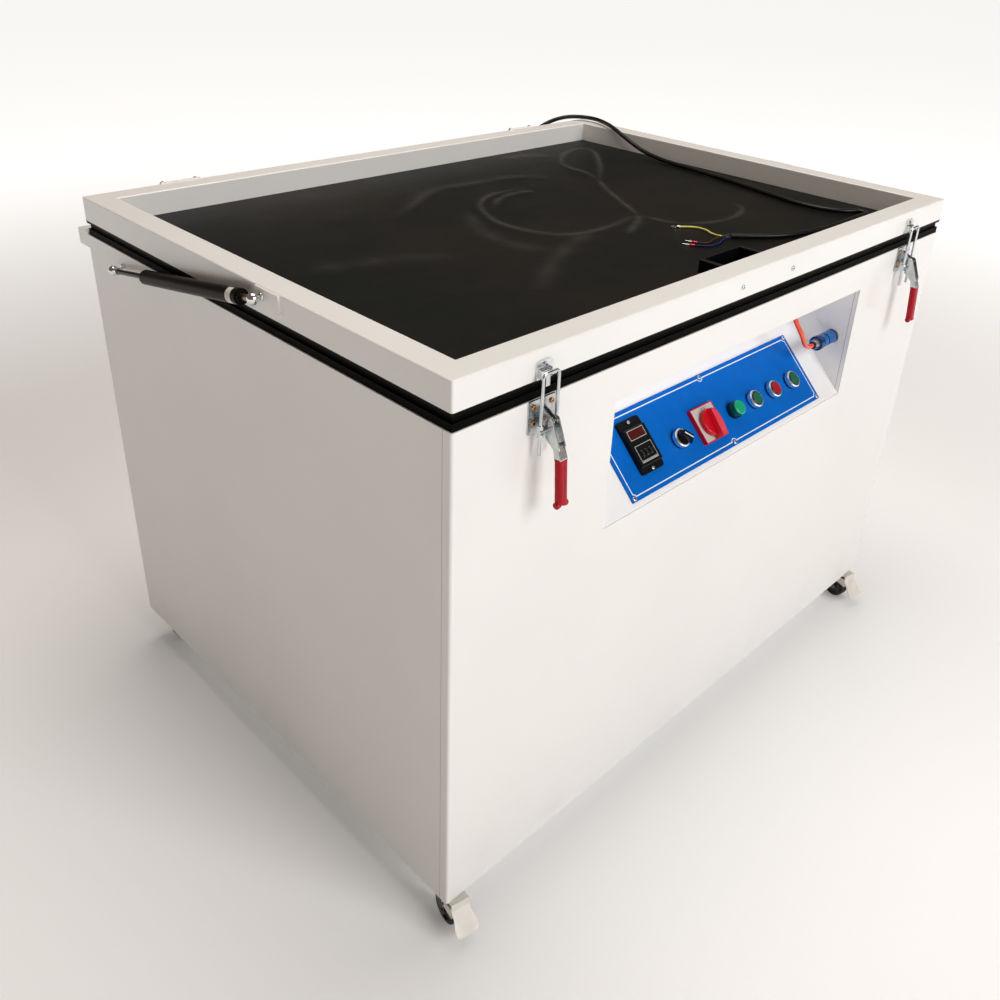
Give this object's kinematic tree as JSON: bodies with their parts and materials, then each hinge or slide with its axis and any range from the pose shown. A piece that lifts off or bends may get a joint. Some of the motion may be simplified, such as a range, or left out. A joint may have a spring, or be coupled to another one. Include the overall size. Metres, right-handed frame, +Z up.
{
  "type": "screen printing exposure unit",
  "caption": "Floor-standing ultraviolet exposure cabinet on castors with a glass bed, hinged vacuum lid with rubber blanket, draw latches, gas struts and a slanted control panel.",
  "frame": {"origin": "on the floor under the middle of the cabinet", "axes": "+X to the right seen from the front, +Y to the rear hinge rail, +Z up; the controls and latches face -Y"},
  "size_m": [1.254, 1.0506, 0.9065],
  "materials": {
    "white_paint": "satin powder coat, faint orange peel",
    "blue_plate": "satin print with a white border line",
    "black_rubber": "matte",
    "strip_metal": "satin",
    "clear_glass": "clear, polished",
    "bright_zinc": "bright plated",
    "chrome_ring": "polished",
    "black_plastic": "satin to gloss",
    "green_lens": "glossy, translucent",
    "green_cap": "glossy",
    "red_cap": "glossy",
    "red_plastic": "glossy",
    "latch_metal": "plated steel with a dipped red vinyl grip",
    "blue_plastic": "ribbed, satin",
    "grey_metal": "satin",
    "orange_hose": "glossy",
    "strut_black": "semi-gloss black enamel",
    "steel_rod": "ground and plated",
    "dark_steel": "grey primer",
    "reflector": "polished sheet",
    "pump_grey": "grey enamel",
    "wheel_rubber": "matte grey-black tread",
    "pedal_cream": "matte",
    "cord_rubber": "matte",
    "wire_insulation": "brown, blue, and yellow-green insulation"
  },
  "bodies": {
    "cabinet": {"front_panel": "white_paint", "side_panels": "white_paint", "rear_panel": "white_paint", "bottom_panel": "white_paint", "top_rim": "white_paint", "glass_plate": "clear_glass", "inner_frame": "dark_steel", "rim_seal": "black_rubber", "control_recess": "white_paint", "control_plate": "blue_plate", "control_bezels": "chrome_ring", "indicator_lamp": "green_lens", "main_switch_base": "red_plastic", "timer_housing": "black_plastic", "coupler_body": "grey_metal", "air_hose": "orange_hose", "hinge_rail": "white_paint", "latch_bases": "bright_zinc", "fasteners": "bright_zinc", "cable_gland": "black_plastic", "lamp_housing": "reflector", "vacuum_pump": "pump_grey", "control_gear": "dark_steel", "castor_plates": "bright_zinc", "cord_root": "cord_rubber"},
    "lid": {"lid_frame": "white_paint", "rubber_blanket": "black_rubber", "blanket_clamp": "strip_metal", "lid_hardware": "bright_zinc", "vacuum_port": "black_plastic", "cord_on_lid": "cord_rubber", "cord_wires": "wire_insulation"},
    "strut_rod_left": {"strut_rod_left": "steel_rod"},
    "strut_tube_left": {"strut_tube_left": "strut_black"},
    "strut_rod_right": {"strut_rod_right": "steel_rod"},
    "strut_tube_right": {"strut_tube_right": "strut_black"},
    "latch_handle_left": {"latch_handle_left": "latch_metal"},
    "latch_bow_left": {"latch_bow_left": "bright_zinc"},
    "latch_handle_right": {"latch_handle_right": "latch_metal"},
    "latch_bow_right": {"latch_bow_right": "bright_zinc"},
    "main_switch": {"main_switch_handle": "red_plastic"},
    "selector": {"selector_knob": "black_plastic"},
    "start_button": {"start_button": "green_cap"},
    "stop_button": {"stop_button": "red_cap"},
    "exposure_button": {"exposure_button": "green_cap"},
    "timer_thumbwheel_1": {"timer_thumbwheel_1": "black_plastic"},
    "timer_thumbwheel_2": {"timer_thumbwheel_2": "black_plastic"},
    "timer_thumbwheel_3": {"timer_thumbwheel_3": "black_plastic"},
    "coupler_sleeve": {"coupler_sleeve": "blue_plastic"},
    "lamp_shutter": {"lamp_shutter": "reflector"},
    "castor_fork_front_left": {"castor_fork_front_left": "bright_zinc"},
    "castor_wheel_front_left": {"castor_wheel_front_left": "wheel_rubber"},
    "brake_pedal_front_left": {"brake_pedal_front_left": "pedal_cream"},
    "castor_fork_front_right": {"castor_fork_front_right": "bright_zinc"},
    "castor_wheel_front_right": {"castor_wheel_front_right": "wheel_rubber"},
    "brake_pedal_front_right": {"brake_pedal_front_right": "pedal_cream"},
    "castor_fork_rear_left": {"castor_fork_rear_left": "bright_zinc"},
    "castor_wheel_rear_left": {"castor_wheel_rear_left": "wheel_rubber"},
    "castor_fork_rear_right": {"castor_fork_rear_right": "bright_zinc"},
    "castor_wheel_rear_right": {"castor_wheel_rear_right": "wheel_rubber"}
  },
  "joints": [
    {"name": "lid_hinge", "type": "hinge", "parent": "cabinet", "child": "lid", "pos_m": [-0.43, 0.451, 0.841], "axis": [-1, 0, 0], "range_deg": [0, 40]},
    {"name": "strut_rod_left_pivot", "type": "hinge", "parent": "cabinet", "child": "strut_rod_left", "pos_m": [-0.616, 0.326, 0.805], "axis": [-1, 0, 0], "range_deg": [0, 48]},
    {"name": "strut_tube_left_pivot", "type": "hinge", "parent": "lid", "child": "strut_tube_left", "pos_m": [-0.616, -0.087, 0.881], "axis": [-1, 0, 0], "range_deg": [0, 8]},
    {"name": "strut_rod_right_pivot", "type": "hinge", "parent": "cabinet", "child": "strut_rod_right", "pos_m": [0.616, 0.326, 0.805], "axis": [-1, 0, 0], "range_deg": [0, 48]},
    {"name": "strut_tube_right_pivot", "type": "hinge", "parent": "lid", "child": "strut_tube_right", "pos_m": [0.616, -0.087, 0.881], "axis": [-1, 0, 0], "range_deg": [0, 8]},
    {"name": "latch_handle_left_pivot", "type": "hinge", "parent": "cabinet", "child": "latch_handle_left", "pos_m": [-0.462, -0.464, 0.808], "axis": [-1, 0, 0], "range_deg": [0, 120]},
    {"name": "latch_bow_left_pivot", "type": "hinge", "parent": "latch_handle_left", "child": "latch_bow_left", "pos_m": [-0.462, -0.4575, 0.7953], "axis": [-1, 0, 0], "range_deg": [-120, 0]},
    {"name": "latch_handle_right_pivot", "type": "hinge", "parent": "cabinet", "child": "latch_handle_right", "pos_m": [0.462, -0.464, 0.808], "axis": [-1, 0, 0], "range_deg": [0, 120]},
    {"name": "latch_bow_right_pivot", "type": "hinge", "parent": "latch_handle_right", "child": "latch_bow_right", "pos_m": [0.462, -0.4575, 0.7953], "axis": [-1, 0, 0], "range_deg": [-120, 0]},
    {"name": "main_switch_turn", "type": "hinge", "parent": "cabinet", "child": "main_switch", "pos_m": [-0.032, -0.41106, 0.63541], "axis": [0, -0.7071, 0.7071], "range_deg": [-90, 0]},
    {"name": "selector_turn", "type": "hinge", "parent": "cabinet", "child": "selector", "pos_m": [-0.1056, -0.40823, 0.63258], "axis": [0, -0.7071, 0.7071], "range_deg": [0, 76]},
    {"name": "start_button_press", "type": "slide", "parent": "cabinet", "child": "start_button", "axis": [0, -0.7071, 0.7071], "range_m": [-0.003, 0], "stiffness_N_per_m": 150, "springref_m": 0.001},
    {"name": "stop_button_press", "type": "slide", "parent": "cabinet", "child": "stop_button", "axis": [0, -0.7071, 0.7071], "range_m": [-0.003, 0], "stiffness_N_per_m": 150, "springref_m": 0.001},
    {"name": "exposure_button_press", "type": "slide", "parent": "cabinet", "child": "exposure_button", "axis": [0, -0.7071, 0.7071], "range_m": [-0.003, 0], "stiffness_N_per_m": 150, "springref_m": 0.001},
    {"name": "timer_thumbwheel_1_turn", "type": "hinge", "parent": "cabinet", "child": "timer_thumbwheel_1", "pos_m": [-0.196, -0.40116, 0.634], "axis": [1, 0, 0], "continuous": true},
    {"name": "timer_thumbwheel_2_turn", "type": "hinge", "parent": "cabinet", "child": "timer_thumbwheel_2", "pos_m": [-0.187, -0.40116, 0.634], "axis": [1, 0, 0], "continuous": true},
    {"name": "timer_thumbwheel_3_turn", "type": "hinge", "parent": "cabinet", "child": "timer_thumbwheel_3", "pos_m": [-0.178, -0.40116, 0.634], "axis": [1, 0, 0], "continuous": true},
    {"name": "coupler_sleeve_pull", "type": "slide", "parent": "cabinet", "child": "coupler_sleeve", "axis": [1, 0, 0], "range_m": [0, 0.003], "stiffness_N_per_m": 300, "springref_m": -0.001},
    {"name": "lamp_shutter_hinge", "type": "hinge", "parent": "cabinet", "child": "lamp_shutter", "pos_m": [0, 0.166, 0.255], "axis": [-1, 0, 0], "range_deg": [0, 80]},
    {"name": "castor_front_left_swivel", "type": "hinge", "parent": "cabinet", "child": "castor_fork_front_left", "pos_m": [-0.572, -0.404, 0.06], "axis": [0, 0, 1], "continuous": true},
    {"name": "castor_front_left_roll", "type": "hinge", "parent": "castor_fork_front_left", "child": "castor_wheel_front_left", "pos_m": [-0.57547, -0.4237, 0.025], "axis": [0.9848, -0.1736, 0], "continuous": true},
    {"name": "brake_pedal_front_left_press", "type": "hinge", "parent": "castor_fork_front_left", "child": "brake_pedal_front_left", "pos_m": [-0.57686, -0.43157, 0.05], "axis": [0.9848, -0.1736, 0], "range_deg": [0, 8]},
    {"name": "castor_front_right_swivel", "type": "hinge", "parent": "cabinet", "child": "castor_fork_front_right", "pos_m": [0.572, -0.404, 0.06], "axis": [0, 0, 1], "continuous": true},
    {"name": "castor_front_right_roll", "type": "hinge", "parent": "castor_fork_front_right", "child": "castor_wheel_front_right", "pos_m": [0.56853, -0.4237, 0.025], "axis": [0.9848, -0.1736, 0], "continuous": true},
    {"name": "brake_pedal_front_right_press", "type": "hinge", "parent": "castor_fork_front_right", "child": "brake_pedal_front_right", "pos_m": [0.56714, -0.43157, 0.05], "axis": [0.9848, -0.1736, 0], "range_deg": [0, 8]},
    {"name": "castor_rear_left_swivel", "type": "hinge", "parent": "cabinet", "child": "castor_fork_rear_left", "pos_m": [-0.572, 0.404, 0.06], "axis": [0, 0, 1], "continuous": true},
    {"name": "castor_rear_left_roll", "type": "hinge", "parent": "castor_fork_rear_left", "child": "castor_wheel_rear_left", "pos_m": [-0.55205, 0.4054, 0.025], "axis": [-0.0698, 0.9976, 0], "continuous": true},
    {"name": "castor_rear_right_swivel", "type": "hinge", "parent": "cabinet", "child": "castor_fork_rear_right", "pos_m": [0.572, 0.404, 0.06], "axis": [0, 0, 1], "continuous": true},
    {"name": "castor_rear_right_roll", "type": "hinge", "parent": "castor_fork_rear_right", "child": "castor_wheel_rear_right", "pos_m": [0.57061, 0.38405, 0.025], "axis": [0.9976, -0.0698, 0], "continuous": true}
  ],
  "couplings": [
    {"joint": "strut_rod_left_pivot", "follows": "lid_hinge", "ratio": 1.1965},
    {"joint": "strut_tube_left_pivot", "follows": "lid_hinge", "ratio": 0.1965},
    {"joint": "strut_rod_right_pivot", "follows": "lid_hinge", "ratio": 1.1965},
    {"joint": "strut_tube_right_pivot", "follows": "lid_hinge", "ratio": 0.1965},
    {"joint": "latch_bow_left_pivot", "follows": "latch_handle_left_pivot", "ratio": -1},
    {"joint": "latch_bow_right_pivot", "follows": "latch_handle_right_pivot", "ratio": -1}
  ]
}
